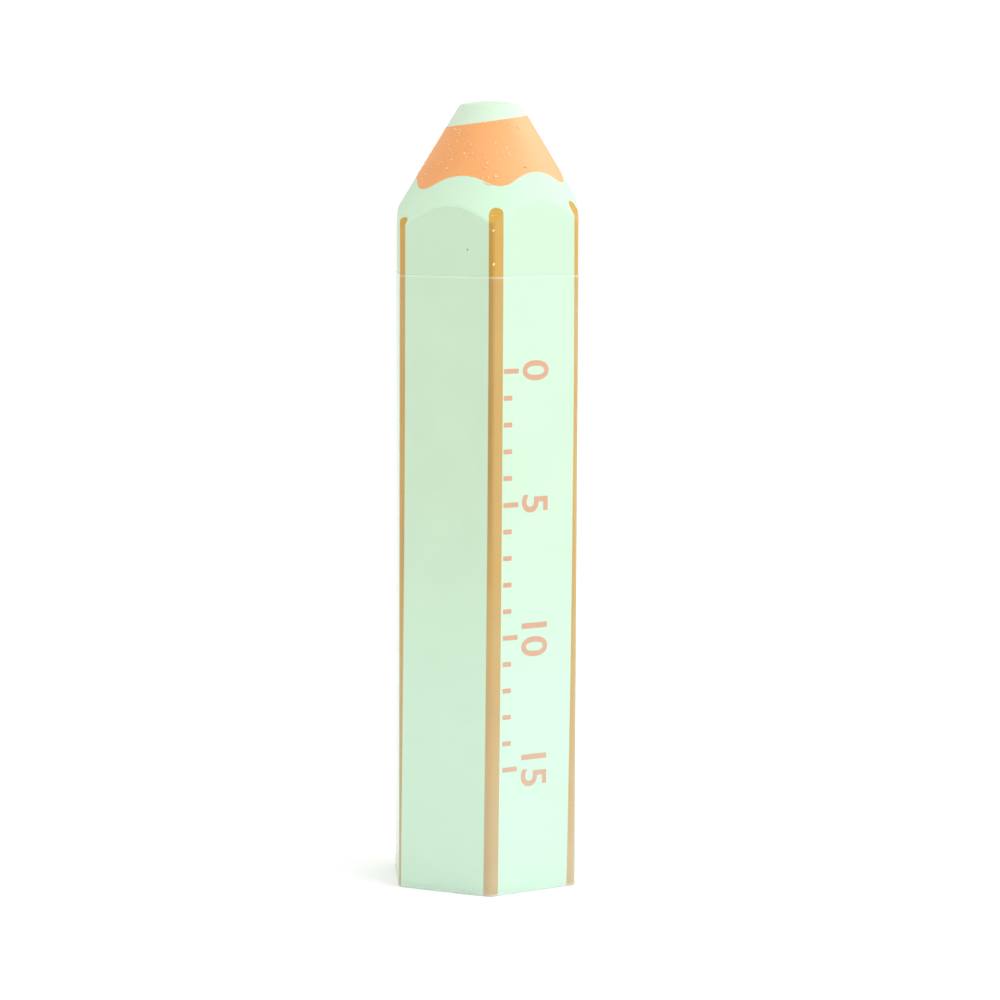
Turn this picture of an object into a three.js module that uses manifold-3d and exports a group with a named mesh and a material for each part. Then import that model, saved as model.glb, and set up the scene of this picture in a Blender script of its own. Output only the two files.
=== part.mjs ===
// A pencil-shaped eraser. Soft vinyl is co-extruded as one hexagonal bar in three colours: a round
// core, a rounded hexagonal layer, an outer casing, and a strip let into each of the six edges.
// The bar is cut to length, and one end is sharpened to a blunt cone that bares the layers.
// A clear film sleeve, wrapped and sealed along a lap, slides along the rest of the bar.
//
// Millimetres. +Z runs along the bar from its flat tail to its tip, and the origin is the centre of
// the tail. One edge of the hexagon faces -Y, so two flats face +X and -X.
import * as THREE from "three";
import { mergeVertices } from "three/addons/utils/BufferGeometryUtils.js";
import Module from "manifold-3d";

const wasm = await Module();
wasm.setup();

// Driving dimensions of the bar
const LENGTH = 67;
const SIDE = 8.7; // one side of the hexagon, which is also the distance from its axis to an edge
const EDGE_ROUND = 0.7;
const CORE_RADIUS = 3.45;
const CASING_WALL = 1.4;
const LAYER_ROUND = 2.2; // at the corners of the layer under the casing
const LAYER_TURN = 5; // degrees that the layer's corners sit round from the bar's edges
const BOND_GAP = 0.05; // between co-extruded pieces, which are bonded on the real bar

// Driving dimensions of an edge strip, whose inner end is half an ellipse
const STRIP_WIDTH = 1.24;
const STRIP_DEPTH = 0.9;
const STRIP_END = 0.4;

// Driving dimensions of the sharpened end
const TIP_RADIUS = 2.6;
const TIP_CROWN = 0.3; // the blunt tip swells by this much
const TIP_HALF_ANGLE = 31.2; // degrees
const TIP_OFFSET = 0.3; // the cone was cut this far off the bar's axis, towards +X

// Driving dimensions of the sleeve
const SLEEVE_LENGTH = 52.4;
const FILM = 0.12;
const SLEEVE_PLAY = 0.1; // between the bar and the film, on every flat
const LAP_WIDTH = 3;
const LAP_FACE = 120; // degrees from +X to the normal of the flat that carries the lap

// Steps along each round stretch
const EDGE_STEPS = 6;
const SIXTH_STEPS = 12; // a sixth of a circle
const CROWN_STEPS = 4;
const CONE_SIDES = 96;

const radians = THREE.MathUtils.degToRad;

const EDGES = ["front", "front_right", "back_right", "back", "back_left", "front_left"];
const EDGE_TURN = 360 / EDGES.length;
const FRONT = -90; // degrees from +X to the front edge
const APOTHEM = SIDE * Math.cos(radians(EDGE_TURN / 2));
const LAYER_APOTHEM = APOTHEM - CASING_WALL;

const MINT = new THREE.MeshStandardMaterial({ color: 0xcdebd2, roughness: 0.6, metalness: 0 });
const ORANGE = new THREE.MeshStandardMaterial({ color: 0xf7b27c, roughness: 0.65, metalness: 0 });
const OCHRE = new THREE.MeshStandardMaterial({ color: 0xd9a652, roughness: 0.6, metalness: 0 });
const CLEAR_FILM = new THREE.MeshStandardMaterial({
  color: 0xf4fff8,
  roughness: 0.15,
  metalness: 0,
  transparent: true,
  opacity: 0.25,
});

// The turn of each of the six edges, anticlockwise from the front edge when seen from the tip.
function edgeTurns() {
  return EDGES.map((edge, k) => FRONT + k * EDGE_TURN);
}

function pointAt(radius, degrees) {
  return new THREE.Vector2(radius * Math.cos(radians(degrees)), radius * Math.sin(radians(degrees)));
}

// Points along an arc of an ellipse whose first half-axis is turned by the given degrees.
function arc(centre, [first, second], [from, to], turn, steps) {
  const clockwise = to < from;
  const curve = new THREE.EllipseCurve(
    centre.x,
    centre.y,
    first,
    second,
    radians(from),
    radians(to),
    clockwise,
    radians(turn),
  );
  return curve.getPoints(steps);
}

// A hexagon with round corners, as six arcs that its flats join.
function hexagon(apothem, round, steps, extraTurn = 0) {
  const toCentre = (apothem - round) / Math.cos(radians(EDGE_TURN / 2));
  const half = EDGE_TURN / 2;
  const corners = edgeTurns().map((turn) => {
    const centre = pointAt(toCentre, turn + extraTurn);
    return arc(centre, [round, round], [-half, half], turn + extraTurn, steps);
  });
  return corners.flat();
}

function circle(radius) {
  const steps = SIXTH_STEPS * EDGES.length;
  return arc(new THREE.Vector2(), [radius, radius], [0, 360], 0, steps).slice(0, steps);
}

// A point near an edge of the bar, from how far across the edge and how deep under it the point lies.
function nearEdge(turn, across, depth) {
  return pointAt(SIDE - depth, turn).add(pointAt(across, turn + 90));
}

// How deep under the edge the flats lie, this far across it.
function flatDepth(across) {
  return across / Math.tan(radians(EDGE_TURN));
}

// The inside of a strip or of its seat: straight sides in from the flats, and half an ellipse.
function stripInside(turn, gap, clockwise) {
  const half = STRIP_WIDTH / 2 + gap;
  const centre = nearEdge(turn, 0, STRIP_DEPTH - STRIP_END);
  const sweep = clockwise ? [270, 90] : [90, 270];
  const first = clockwise ? -half : half;
  return [
    nearEdge(turn, first, flatDepth(half)),
    ...arc(centre, [STRIP_END + gap, half], sweep, turn, 2 * EDGE_STEPS),
    nearEdge(turn, -first, flatDepth(half)),
  ];
}

function casingSection() {
  const seats = edgeTurns().map((turn) => stripInside(turn, BOND_GAP, true));
  const section = new THREE.Shape(seats.flat());
  const bore = hexagon(LAYER_APOTHEM + BOND_GAP, LAYER_ROUND + BOND_GAP, SIXTH_STEPS, LAYER_TURN);
  section.holes.push(new THREE.Path(bore));
  return section;
}

// The strip at the front edge. Its outside is rounded where the two flats meet.
function stripSection() {
  const centre = nearEdge(FRONT, 0, EDGE_ROUND / Math.sin(radians(EDGE_TURN)));
  const half = EDGE_TURN / 2;
  const outside = arc(centre, [EDGE_ROUND, EDGE_ROUND], [-half, half], FRONT, EDGE_STEPS);
  return new THREE.Shape([...stripInside(FRONT, 0, false), ...outside]);
}

function layerSection() {
  const section = new THREE.Shape(hexagon(LAYER_APOTHEM, LAYER_ROUND, SIXTH_STEPS, LAYER_TURN));
  section.holes.push(new THREE.Path(circle(CORE_RADIUS + BOND_GAP)));
  return section;
}

function coreSection() {
  return new THREE.Shape(circle(CORE_RADIUS));
}

function sleeveSection() {
  const inside = APOTHEM + SLEEVE_PLAY;
  const roundInside = EDGE_ROUND + SLEEVE_PLAY;
  const section = new THREE.Shape(hexagon(inside + FILM, roundInside + FILM, EDGE_STEPS));
  section.holes.push(new THREE.Path(hexagon(inside, roundInside, EDGE_STEPS)));
  return section;
}

function prism(section, length) {
  return new THREE.ExtrudeGeometry(section, { depth: length, bevelEnabled: false });
}

// A closed mesh as a solid that can be cut and joined.
function solidFrom(geometry) {
  const bare = geometry.clone();
  bare.deleteAttribute("normal");
  bare.deleteAttribute("uv");
  const merged = mergeVertices(bare);
  return new wasm.Manifold(
    new wasm.Mesh({
      numProp: 3,
      vertProperties: new Float32Array(merged.attributes.position.array),
      triVerts: new Uint32Array(merged.index.array),
    }),
  );
}

function geometryFrom(solid) {
  const mesh = solid.getMesh();
  const indexed = new THREE.BufferGeometry();
  indexed.setAttribute("position", new THREE.BufferAttribute(mesh.vertProperties, mesh.numProp));
  indexed.setIndex(new THREE.BufferAttribute(mesh.triVerts, 1));
  const faceted = indexed.toNonIndexed();
  faceted.computeVertexNormals();
  return faceted;
}

// What sharpening leaves: a cone with a crowned tip, turned to suit a piece that is placed turned.
function sharpenedCone(turn) {
  const shoulder = LENGTH - TIP_CROWN;
  const tailRadius = TIP_RADIUS + shoulder * Math.tan(radians(TIP_HALF_ANGLE));
  const crownRadius = (TIP_RADIUS ** 2 + TIP_CROWN ** 2) / (2 * TIP_CROWN);
  const crownAngle = Math.asin(TIP_RADIUS / crownRadius);
  const profile = [new THREE.Vector2(0, 0), new THREE.Vector2(tailRadius, 0)];
  for (let k = 0; k < CROWN_STEPS; k++) {
    const angle = crownAngle * (1 - k / CROWN_STEPS);
    const height = LENGTH - crownRadius * (1 - Math.cos(angle));
    profile.push(new THREE.Vector2(crownRadius * Math.sin(angle), height));
  }
  profile.push(new THREE.Vector2(0, LENGTH));
  const cone = new THREE.LatheGeometry(profile, CONE_SIDES);
  cone.rotateX(Math.PI / 2);
  cone.translate(TIP_OFFSET, 0, 0);
  cone.rotateZ(-radians(turn));
  return solidFrom(cone);
}

// A length of bar of one section, sharpened at the tip.
function sharpenedBar(section, turn = 0) {
  const blank = solidFrom(prism(section, LENGTH));
  return geometryFrom(blank.intersect(sharpenedCone(turn)));
}

// The film's far end lies over its start along a back flat, sealed to it, so the film is double there.
function sleeveGeometry() {
  const tube = solidFrom(prism(sleeveSection(), SLEEVE_LENGTH));
  const outerFace = APOTHEM + SLEEVE_PLAY + FILM;
  const sunk = FILM / 2;
  const lap = new THREE.BoxGeometry(FILM + sunk, LAP_WIDTH, SLEEVE_LENGTH);
  lap.translate(outerFace + (FILM - sunk) / 2, 0, SLEEVE_LENGTH / 2);
  lap.rotateZ(radians(LAP_FACE));
  return geometryFrom(tube.add(solidFrom(lap)));
}

function named(name, geometry, material) {
  const mesh = new THREE.Mesh(geometry, material);
  mesh.name = name;
  return mesh;
}

const bar = new THREE.Group();
bar.name = "bar";
bar.add(named("core", sharpenedBar(coreSection()), MINT));
bar.add(named("orange_layer", sharpenedBar(layerSection()), ORANGE));
bar.add(named("casing", sharpenedBar(casingSection()), MINT));
EDGES.forEach((edge, k) => {
  const turn = k * EDGE_TURN;
  const strip = named("edge_strip_" + edge, sharpenedBar(stripSection(), turn), OCHRE);
  strip.rotation.z = radians(turn);
  bar.add(strip);
});

const sleeve = new THREE.Group();
sleeve.name = "sleeve";
sleeve.add(named("film_sleeve", sleeveGeometry(), CLEAR_FILM));

const eraser = new THREE.Group();
eraser.name = "eraser";
eraser.add(bar, sleeve);

export default eraser;
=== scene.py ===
# %% [markdown]
# # A pencil-shaped eraser
# This lesson dresses a imported model of a soft vinyl eraser. The real one is a hexagonal bar, pressed through
# a die in one go from vinyl of three colours, then sharpened at one end like a pencil. A clear film sleeve
# slides along it. The imported model already has the true sizes, so the lesson adds what an eye notices:
# soft edges, finishes, crumbs left by the cutter, the film and the print on it.
#
# The imported model is loaded first and never changed.

# %% Load the imported model
import math

import bpy
from mathutils import Matrix, Vector


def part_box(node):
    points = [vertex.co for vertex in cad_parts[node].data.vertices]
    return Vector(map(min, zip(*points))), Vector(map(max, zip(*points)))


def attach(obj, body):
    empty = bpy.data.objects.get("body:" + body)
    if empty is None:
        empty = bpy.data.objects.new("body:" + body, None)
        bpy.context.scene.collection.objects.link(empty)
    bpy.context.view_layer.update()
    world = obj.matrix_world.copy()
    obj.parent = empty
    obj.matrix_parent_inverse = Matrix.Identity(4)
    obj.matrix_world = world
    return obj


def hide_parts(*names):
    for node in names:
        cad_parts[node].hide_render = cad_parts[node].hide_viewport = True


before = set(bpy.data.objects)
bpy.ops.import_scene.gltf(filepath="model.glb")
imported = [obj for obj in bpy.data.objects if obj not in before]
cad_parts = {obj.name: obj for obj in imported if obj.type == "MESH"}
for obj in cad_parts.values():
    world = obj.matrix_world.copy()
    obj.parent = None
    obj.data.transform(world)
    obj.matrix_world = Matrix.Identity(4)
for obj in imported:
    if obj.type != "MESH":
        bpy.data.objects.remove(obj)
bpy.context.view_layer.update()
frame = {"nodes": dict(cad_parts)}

print("packed model:", ", ".join(frame["nodes"]))

# %% [markdown]
# ## Sizes
# Everything is in metres, with +Z along the bar from its flat tail to its tip and one edge of the hexagon
# facing -Y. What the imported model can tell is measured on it. Sizes that the boxes of its nodes don't show,
# such as how wide a coloured strip is, are given in millimetres where they are first needed.

# %% Sizes
MM = 0.001
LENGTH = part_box("core")[1].z
CORE_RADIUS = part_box("core")[1].x
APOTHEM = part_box("casing")[1].x  # from the axis to a flat
SLEEVE_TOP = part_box("film_sleeve")[1].z
EDGES = 6
EDGE_TURN = 360 / EDGES
HALF_TURN = math.radians(EDGE_TURN / 2)  # from the middle of a flat to an edge
FRONT = -90  # degrees from +X to the edge that faces -Y
SIDE = APOTHEM / math.cos(HALF_TURN)
print(f"bar {LENGTH / MM:.1f} mm long, sides {SIDE / MM:.2f} mm, sleeve {SLEEVE_TOP / MM:.1f} mm")

# %% [markdown]
# ## Camera
# The photograph was taken from a little above the middle of the bar, nearly square on to its front edge.
# A long lens some 29 cm away gives the slight narrowing towards the tail. The camera is placed by where it
# stands and by three turns, instead of a Track To constraint, so that its slight roll can be set too.

# %% Camera
CAMERA_LENS = 122.65  # millimetres, on a sensor 36 mm wide
CAMERA_DISTANCE = 291.85 * MM
CAMERA_HEIGHT = 63.8 * MM
CAMERA_ASIDE = 1.25 * MM
CAMERA_TURN = 3.8
CAMERA_TILT = 6.05
CAMERA_ROLL = 0.24
NEAREST_SEEN = 10 * MM


def rotation(degrees, axis):
    return Matrix.Rotation(math.radians(degrees), 4, axis)


def add_to_scene(name, data):
    made = bpy.data.objects.new(name, data)
    bpy.context.scene.collection.objects.link(made)
    return made


camera = add_to_scene("camera", bpy.data.cameras.new("camera"))
camera.data.lens = CAMERA_LENS
camera.data.clip_start = NEAREST_SEEN
camera_stand = Matrix.Translation((CAMERA_ASIDE, -CAMERA_DISTANCE, CAMERA_HEIGHT))
camera_aim = rotation(90 - CAMERA_TILT, "X") @ rotation(CAMERA_ROLL, "Z")
camera.matrix_world = rotation(-CAMERA_TURN, "Z") @ camera_stand @ camera_aim
bpy.context.scene.camera = camera
print("camera stands at", [round(part / MM, 1) for part in camera.matrix_world.translation], "mm")

# %% [markdown]
# ## Small helpers for nodes
# Finishes and Geometry Nodes are both trees of nodes. A few helpers keep them readable: one adds a node and
# fills its inputs, by a value or by a link, and the others write what is often needed as a single line.

# %% Helpers for nodes


def feed(tree, value, socket):
    if isinstance(value, bpy.types.NodeSocket):
        tree.links.new(value, socket)
    else:
        socket.default_value = value


def add_node(tree, kind, inputs=(), **settings):
    node = tree.nodes.new(kind)
    for name, value in settings.items():
        setattr(node, name, value)
    for name, value in dict(inputs).items():
        feed(tree, value, node.inputs[name])
    return node


def output_of(tree, kind, inputs=(), **settings):
    """The first output of a new node."""
    return add_node(tree, kind, inputs, **settings).outputs[0]


def calculate(tree, operation, *values):
    return output_of(tree, "ShaderNodeMath", enumerate(values), operation=operation)


def mix_colours(tree, share, first, second):
    mix = tree.nodes.new("ShaderNodeMix")
    mix.data_type = "RGBA"
    feed(tree, share, mix.inputs["Factor"])
    colours = [socket for socket in mix.inputs if socket.type == "RGBA"]
    feed(tree, first, colours[0])
    feed(tree, second, colours[1])
    return next(socket for socket in mix.outputs if socket.type == "RGBA")


def rescale(tree, value, low, high, new_low, new_high):
    limits = {"Value": value, "From Min": low, "From Max": high, "To Min": new_low, "To Max": new_high}
    return add_node(tree, "ShaderNodeMapRange", limits).outputs["Result"]


def noise(tree, place, size, detail=2.0):
    """Cloudy values from 0 to 1. A higher detail adds finer clouds."""
    clouds = {"Vector": place, "Scale": 1 / size, "Detail": detail}
    return output_of(tree, "ShaderNodeTexNoise", clouds)


def split(tree, vector):
    return add_node(tree, "ShaderNodeSeparateXYZ", {"Vector": vector}).outputs


def colour(red, green, blue):
    """A colour given as a picture shows it, from 0 to 255, as the linear values that Blender mixes."""
    parts = [part / 255 for part in (red, green, blue)]
    return [part / 12.92 if part <= 0.04045 else ((part + 0.055) / 1.055) ** 2.4 for part in parts] + [1.0]


print("a grey of 128 in a picture mixes as", round(colour(128, 128, 128)[0], 3))

# %% [markdown]
# ## Stage
# The eraser stands on white paper in a white room. A backdrop could curve up behind it, but a disc is
# enough: its rim is so far off that it melts into the room. The white world is itself the fill light, so
# shadows stay faint. The standard view transform keeps whites white, where the filmic ones turn them grey.

# %% Stage
FLOOR_RADIUS = 3.0
FLOOR_POINTS = 96
FLOOR_DROP = 0.01 * MM  # keeps the paper just clear of the tail
PAPER_GRAIN = 0.4 * MM
PAPER_ROUGHNESS = 0.9
WORLD_LIGHT = 1.08
WHITE = (1.0, 1.0, 1.0)


def new_finish(name):
    material = bpy.data.materials.new(name)
    material.use_nodes = True
    material.node_tree.nodes.clear()
    return material, material.node_tree


def object_place(tree):
    """Where a point lies on its object, which keeps a pattern fixed to the piece."""
    return add_node(tree, "ShaderNodeTexCoord").outputs["Object"]


def show(tree, shader):
    add_node(tree, "ShaderNodeOutputMaterial", {"Surface": shader})


def paper():
    material, tree = new_finish("white_paper")
    grain = noise(tree, object_place(tree), PAPER_GRAIN)
    tint = mix_colours(tree, grain, colour(248, 248, 248), colour(252, 252, 252))
    surface = {"Base Color": tint, "Roughness": PAPER_ROUGHNESS}
    show(tree, output_of(tree, "ShaderNodeBsdfPrincipled", surface))
    return material


def flat_disc(name, radius, points, height):
    turns = [2 * math.pi * k / points for k in range(points)]
    mesh = bpy.data.meshes.new(name)
    rim = [(radius * math.cos(turn), radius * math.sin(turn), height) for turn in turns]
    mesh.from_pydata(rim, [], [range(points)])
    return add_to_scene(name, mesh)


floor = flat_disc("floor", FLOOR_RADIUS, FLOOR_POINTS, -FLOOR_DROP)
floor.data.materials.append(paper())

world = bpy.data.worlds.new("white_room")
world.use_nodes = True
world.node_tree.nodes["Background"].inputs["Color"].default_value = (*WHITE, 1.0)
world.node_tree.nodes["Background"].inputs["Strength"].default_value = WORLD_LIGHT
bpy.context.scene.world = world
bpy.context.scene.view_settings.view_transform = "Standard"
print("stage: a white floor", 2 * FLOOR_RADIUS, "m across, in a white room")

# %% [markdown]
# ## Lamps
# A studio lights soft vinyl with large soft lamps, because small ones would give hard shadows and hot spots.
# The main lamp stands on the right and is a little cool, as on an overcast day. A weaker one hangs above. A
# third, behind on the right, only gives glossy surfaces a sheen, so it is hidden from the diffuse light.

# %% Lamps
LAMPS = (  # name, place, size, power and colour
    ("key_lamp", (0.52, -0.26, 0.42), 0.7, 3.0, (0.72, 0.86, 1.0)),
    ("top_lamp", (0.2, -0.1, 0.9), 0.9, 1.0, WHITE),
    ("sheen_lamp", (0.56, 0.17, 0.46), 0.7, 5.0, WHITE),
)


def soft_lamp(name, place, size, power, tint):
    """A square lamp that faces the middle of the bar."""
    lamp = add_to_scene(name, bpy.data.lights.new(name, "AREA"))
    lamp.data.size = size
    lamp.data.energy = power
    lamp.data.color = tint
    lamp.location = place
    aim = Vector((0, 0, LENGTH / 2)) - lamp.location
    lamp.rotation_euler = aim.to_track_quat("-Z", "Y").to_euler()
    return lamp


lamps = {lamp[0]: soft_lamp(*lamp) for lamp in LAMPS}
lamps["sheen_lamp"].visible_diffuse = False
print("lamps stand", [round(lamp.location.length, 2) for lamp in lamps.values()], "m away")

# %% [markdown]
# ## Marks on vinyl
# Vinyl shows how its surface was made: the die leaves faint lines along the bar, and the cutter leaves fine
# rings round the tip. A painted picture would need unwrapping. Noise and waves of real sizes cover every
# side, and Object coordinates keep them fixed to the bar.

# %% Marks on vinyl
LINE_SIZE = 0.35 * MM
LINE_STRETCH = 0.02  # a line's width, as a share of its length
RING_SPACING = 0.3 * MM
RING_WAVER = 1.5
WAVE_TURNS = 20 / (2 * math.pi)  # a wave texture makes this many waves in a unit at scale 1


def die_lines(tree, place):
    """Faint lines along the bar."""
    stretched = add_node(tree, "ShaderNodeMapping", {"Vector": place, "Scale": (1, 1, LINE_STRETCH)})
    return noise(tree, stretched.outputs["Vector"], LINE_SIZE, 3.0)


def cutter_rings(tree, place):
    """Rings round the tip, slightly uneven."""
    scale = 1 / (RING_SPACING * WAVE_TURNS)
    waves = {"Vector": place, "Scale": scale, "Distortion": RING_WAVER, "Detail": 2.0}
    bands = add_node(tree, "ShaderNodeTexWave", waves, wave_type="BANDS", bands_direction="Z")
    return bands.outputs["Fac"]


print(f"marks: lines {LINE_SIZE / MM:.2f} mm wide, rings {RING_SPACING / MM:.2f} mm apart")

# %% [markdown]
# ## Where the colour changes
# Here the colour changes in three places to paint light and shade. Towards the tail the mint turns paler and
# cooler: painted light that makes up for the floor's shade near the base. The front strip is deeper along its
# left side: painted shade for the side turned away from the key lamp. The part above the sleeve is a little
# darker: painted shade that makes up for what the film takes from the part below. Such changes could be painted
# by hand, but a function of the place is easier to adjust: it says how much of a change a point takes, from 0
# to 1.

# %% Where the colour changes
# painted light: the mint turns paler and cooler towards the tail, against the floor's shade near the base
PAINTED_TAIL_LIGHT = 0.75
PAINTED_TAIL_LIGHT_HEIGHTS = (15 * MM, 34 * MM)  # the full change below the first, and none above the second
# painted shade above the sleeve, making up for the light that the film takes from the part below
PAINTED_SHADE_ABOVE_SLEEVE = 0.6
PAINTED_SHADE_HEIGHTS = (SLEEVE_TOP - 0.2 * MM, SLEEVE_TOP)
# painted shade on the left side of the front strip, which faces away from the key lamp
SHADED_STRIP_LIMIT = -0.8 * SIDE  # of all the strips, only the front one lies further towards -Y
SHADE_RISE = (25 * MM, 36 * MM)
SHADE_FADE = (50 * MM, 57 * MM)
SHADE_TIP = 0.55  # what is left near the tip
SHADE_BORDER = (-0.08 * MM, 0.24 * MM)  # along X, where the painted shade ends


def low_part_painted_light(tree, place):
    """The lower part of the bar, which takes painted light against the floor's shade."""
    return rescale(tree, split(tree, place)["Z"], *PAINTED_TAIL_LIGHT_HEIGHTS, PAINTED_TAIL_LIGHT, 0)


def bare_part_painted_shade(tree, place):
    """The part above the sleeve, which takes painted shade."""
    return rescale(tree, split(tree, place)["Z"], *PAINTED_SHADE_HEIGHTS, 0, PAINTED_SHADE_ABOVE_SLEEVE)


def strip_side_painted_shade(tree, place):
    """Painted shade on the left side of the front strip, above the middle of the bar."""
    x, y, z = split(tree, place)
    in_front = calculate(tree, "LESS_THAN", y, SHADED_STRIP_LIMIT)
    rising = rescale(tree, z, *SHADE_RISE, 0, 1)
    along = calculate(tree, "MINIMUM", rising, rescale(tree, z, *SHADE_FADE, 1, SHADE_TIP))
    across = rescale(tree, x, *SHADE_BORDER, 1, 0)
    return calculate(tree, "MULTIPLY", in_front, calculate(tree, "MULTIPLY", along, across))


print("changes:", ", ".join(part.__name__ for part in (low_part_painted_light, bare_part_painted_shade, strip_side_painted_shade)))

# %% [markdown]
# ## Vinyl
# Soft vinyl looks even from afar. Close up it has clouds of two near tints, a fine grain and some trapped
# specks. One function makes these from noise, at real sizes, and adds the marks and changes from above. A
# surface is a satin skin from the die or a duller cut, so a colour brings little more than its tints.

# %% Vinyl
CLOUD_SIZE = 6 * MM
GRAIN_SIZE = 0.12 * MM
SPECK_SPACING = 4.5 * MM
SPECK_SIZE = 0.022  # share of the spacing
MOTTLE_SPREAD = 0.25  # so far to each side of its middle, the mottle takes the tint from deep to pale
UNEVEN_GLOSS = 0.06  # and the roughness from this much less to this much more
MARK_RELIEF = 2  # marks weigh this many times as much in the relief as in the tint
RELIEF_HEIGHT = 0.03 * MM


def vinyl(name, tints, made, changes=()):
    """made says how the surface was made, and changes names parts of the bar with their own tints."""
    material, tree = new_finish(name)
    deep, pale, speck = [colour(*tint) for tint in tints]
    place = object_place(tree)
    clouds = noise(tree, place, CLOUD_SIZE, 4.0)
    grain = noise(tree, place, GRAIN_SIZE, 3.0)
    lines = made["marks"](tree, place)
    cloudy = calculate(tree, "MULTIPLY_ADD", grain, made["grainy"], clouds)
    mottle = calculate(tree, "MULTIPLY_ADD", lines, made["marked"], cloudy)
    middle = (1 + made["grainy"] + made["marked"]) / 2
    limits = (middle - MOTTLE_SPREAD, middle + MOTTLE_SPREAD)
    tint = mix_colours(tree, rescale(tree, mottle, *limits, 0, 1), deep, pale)
    for part, other_tint in changes:
        tint = mix_colours(tree, part(tree, place), tint, colour(*other_tint))
    cells = add_node(tree, "ShaderNodeTexVoronoi", {"Vector": place, "Scale": 1 / SPECK_SPACING})
    specks = calculate(tree, "LESS_THAN", cells.outputs["Distance"], SPECK_SIZE)
    grain_height = calculate(tree, "MULTIPLY", grain, made["grainy"])
    height = calculate(tree, "MULTIPLY_ADD", lines, MARK_RELIEF * made["marked"], grain_height)
    bump = {"Height": height, "Strength": made["relief"], "Distance": RELIEF_HEIGHT}
    least, most = made["roughness"] - UNEVEN_GLOSS, made["roughness"] + UNEVEN_GLOSS
    surface = {
        "Base Color": mix_colours(tree, specks, tint, speck),
        "Roughness": rescale(tree, mottle, *limits, least, most),
        "Specular IOR Level": made["gloss"],
        "Normal": add_node(tree, "ShaderNodeBump", bump).outputs["Normal"],
    }
    show(tree, output_of(tree, "ShaderNodeBsdfPrincipled", surface))
    return material


SKIN = {
    "marks": die_lines, "marked": 0.2, "grainy": 0.3, "roughness": 0.48, "relief": 0.4, "gloss": 0.3,
}
CUT = {
    "marks": cutter_rings, "marked": 0.05, "grainy": 0.5, "roughness": 0.65, "relief": 0.2, "gloss": 0.06,
}
SATIN_CUT = {**CUT, "roughness": 0.58, "gloss": 0.5}
DARK_SPECK = (120, 140, 120)
# painted light and shade on the mint: paler and cooler at the tail, darker above the sleeve
MINT_PAINTED_LIGHT_AND_SHADE = ((low_part_painted_light, (195, 225, 198)), (bare_part_painted_shade, (180, 203, 174)))
# painted shade on the front strip's left side
OCHRE_PAINTED_SHADE = ((strip_side_painted_shade, (168, 125, 44)),)
mint_skin = vinyl("mint_skin", ((189, 212, 183), (195, 218, 189), DARK_SPECK), SKIN, MINT_PAINTED_LIGHT_AND_SHADE)
mint_cut = vinyl("mint_cut", ((188, 213, 185), (194, 219, 192), DARK_SPECK), CUT)
core_cut = vinyl("core_cut", ((195, 211, 187), (203, 218, 195), DARK_SPECK), CUT)
orange_cut = vinyl("orange_cut", ((216, 144, 80), (230, 160, 96), (160, 100, 45)), SATIN_CUT)
ochre_skin = vinyl("ochre_skin", ((184, 142, 62), (192, 150, 70), (215, 190, 130)), SKIN, OCHRE_PAINTED_SHADE)
ochre_cut = vinyl("ochre_cut", ((184, 142, 62), (200, 158, 76), (230, 208, 140)), CUT)
vinyls = (mint_skin, mint_cut, core_cut, orange_cut, ochre_skin, ochre_cut)
print("vinyl:", ", ".join(finish.name for finish in vinyls))

# %% [markdown]
# ## Strips in the edges
# Seen end on, the bar is four shapes that fit each other: a round core, a layer with six round corners, a
# hexagonal casing and a strip in each edge. They could be drawn as curves, but with formulas two neighbours
# share the points of their border. The strips come first. They wander across their edges on the way up.

# %% Strips in the edges
EDGE_ROUND = 0.7 * MM
STRIP_WIDTH = 1.24 * MM
STRIP_DEPTHS = (0.9, 0.97, 0.9, 0.9, 0.9, 0.63)  # of each strip under its edge, in millimetres
STRIP_SQUARE = 0.5  # below 1, the inner end of a strip is squarer than half an ellipse
STRAIGHT = (0, 0, 0)
STRIP_WANDER = (  # of each strip across its edge, at the tail, at the tip and bowed between, in millimetres
    (0.03, 0.29, 0.08), (-0.14, 0.22, 0.16), STRAIGHT, STRAIGHT, STRAIGHT, (-0.58, -0.21, 0.13),
)
SEAT_STEPS = 16


def polar(radius, degrees):
    turn = math.radians(degrees)
    return Vector((radius * math.cos(turn), radius * math.sin(turn)))


def edge_turn(edge):
    return FRONT + edge * EDGE_TURN


def on_edge(edge, across, deeper=0.0):
    """A point this far across an edge of the bar, on its outside or deeper under it."""
    if abs(across) >= EDGE_ROUND / 2:
        depth = abs(across) / math.tan(math.radians(EDGE_TURN))
    else:
        depth = EDGE_ROUND / math.sin(math.radians(EDGE_TURN)) - math.sqrt(EDGE_ROUND**2 - across**2)
    turn = edge_turn(edge)
    return polar(SIDE - depth - deeper, turn) + polar(across, turn + 90)


def strip_sides(edge, height):
    """How far across its edge a strip starts and ends, at this share of the bar's length."""
    tail, tip, bowed = STRIP_WANDER[edge % EDGES]
    shift = (tail + (tip - tail) * height + 4 * bowed * height * (1 - height)) * MM
    return shift - STRIP_WIDTH / 2, shift + STRIP_WIDTH / 2


def strip_seat(edge, height):
    """The border of a strip and the casing, from one side of the strip to the other."""
    edge = edge % EDGES
    turn = edge_turn(edge)
    first, last = strip_sides(edge, height)
    points = []
    for k in range(1, SEAT_STEPS):
        sweep = math.pi * k / SEAT_STEPS
        share = (1 - math.cos(sweep)) / 2
        on_line = on_edge(edge, first).lerp(on_edge(edge, last), share)
        across = first + (last - first) * share
        bottom = polar(SIDE - STRIP_DEPTHS[edge] * MM, turn) + polar(across, turn + 90)
        points.append(on_line.lerp(bottom, math.sin(sweep) ** STRIP_SQUARE))
    return points


print("the front strip starts and ends", [round(side / MM, 2) for side in strip_sides(0, 0)], "mm across")

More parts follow.
